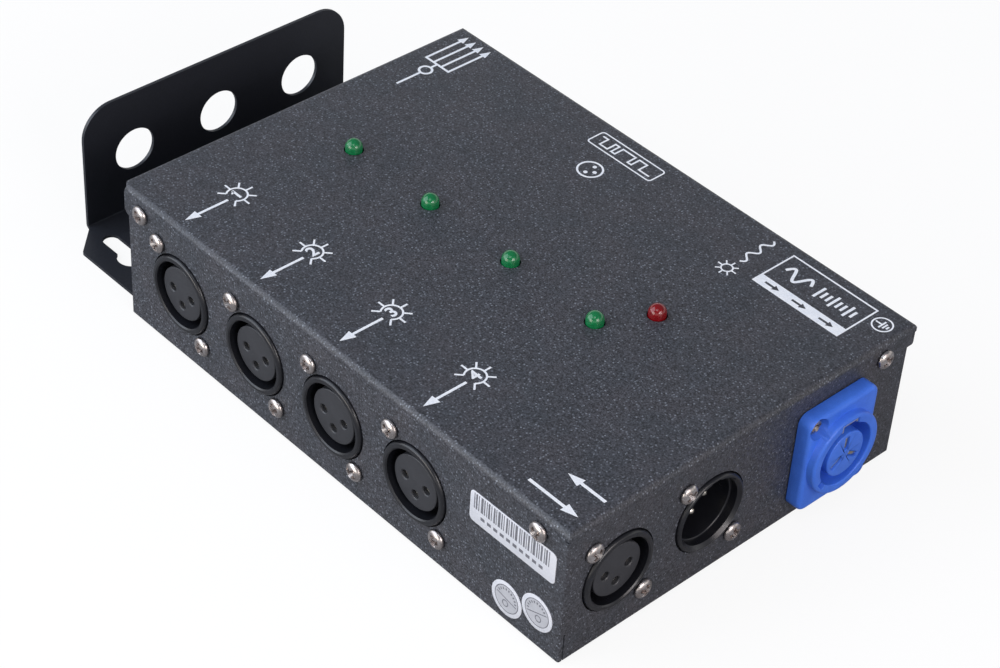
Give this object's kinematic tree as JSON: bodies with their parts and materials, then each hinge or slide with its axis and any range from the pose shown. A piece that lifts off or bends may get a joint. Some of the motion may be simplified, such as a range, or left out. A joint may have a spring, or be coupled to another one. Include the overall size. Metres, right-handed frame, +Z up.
{
  "type": "dmx splitter",
  "caption": "Flat folded-sheet signal splitter box with female outputs on a long face, a through output, a male input and a power inlet on the end, lamps on top and an L-shaped hanging bracket.",
  "frame": {"origin": "centre of the part's footprint, level with the underside of the bracket's flange", "axes": "+X along the case, from the bracket towards the end face with the input and the power inlet; -Y is the face with the row of outputs; +Z up"},
  "size_m": [0.2208, 0.127, 0.0474],
  "materials": {
    "powder_coat": "fine-textured powder coat",
    "bracket_paint": "satin black powder coat",
    "nickel_screw": "nickel plated",
    "connector_black": "moulded, satin",
    "inlet_blue": "moulded, semi-gloss",
    "contact_metal": "plated contact metal",
    "lamp_green": "tinted clear epoxy",
    "lamp_red": "tinted clear epoxy",
    "board_laminate": "solder-masked laminate",
    "support_nylon": "moulded nylon",
    "transformer_casing": "potted casing",
    "capacitor_sleeve": "shrunk sleeve",
    "fuse_glass": "clear tube",
    "chip_body": "moulded epoxy",
    "lead_sheath": "satin sheath"
  },
  "bodies": {
    "root": {"cover": "powder_coat", "base": "powder_coat", "hanging_bracket": "bracket_paint", "cover_screw_bracket_end": "nickel_screw", "cover_screw_corner": "nickel_screw", "cover_screw_end": "nickel_screw", "bracket_screw_1": "nickel_screw", "bracket_screw_2": "nickel_screw", "output_1_screw_upper": "nickel_screw", "output_1_screw_lower": "nickel_screw", "output_2_screw_upper": "nickel_screw", "output_2_screw_lower": "nickel_screw", "output_3_screw_upper": "nickel_screw", "output_3_screw_lower": "nickel_screw", "output_4_screw_upper": "nickel_screw", "output_4_screw_lower": "nickel_screw", "through_screw_upper": "nickel_screw", "through_screw_lower": "nickel_screw", "input_screw_upper": "nickel_screw", "input_screw_lower": "nickel_screw", "inlet_screw_upper": "nickel_screw", "inlet_screw_lower": "nickel_screw", "output_1_socket": "connector_black", "output_1_insert": "connector_black", "output_2_socket": "connector_black", "output_2_insert": "connector_black", "output_3_socket": "connector_black", "output_3_insert": "connector_black", "output_4_socket": "connector_black", "output_4_insert": "connector_black", "through_socket": "connector_black", "through_insert": "connector_black", "input_socket": "connector_black", "inlet_body": "inlet_blue", "inlet_core": "inlet_blue", "input_pin_1": "contact_metal", "input_pin_2": "contact_metal", "input_pin_3": "contact_metal", "inlet_blade_1": "contact_metal", "inlet_blade_2": "contact_metal", "inlet_blade_3": "contact_metal", "inlet_latch_strip": "contact_metal", "output_lamp_1": "lamp_green", "output_lamp_2": "lamp_green", "output_lamp_3": "lamp_green", "output_lamp_4": "lamp_green", "power_lamp": "lamp_red", "main_board": "board_laminate", "board_support_1": "support_nylon", "board_support_2": "support_nylon", "board_support_3": "support_nylon", "board_support_4": "support_nylon", "transformer": "transformer_casing", "filter_capacitor": "capacitor_sleeve", "line_fuse": "fuse_glass", "driver_chip_1": "chip_body", "driver_chip_2": "chip_body", "driver_chip_3": "chip_body", "driver_chip_4": "chip_body", "mains_lead": "lead_sheath"}
  },
  "joints": []
}
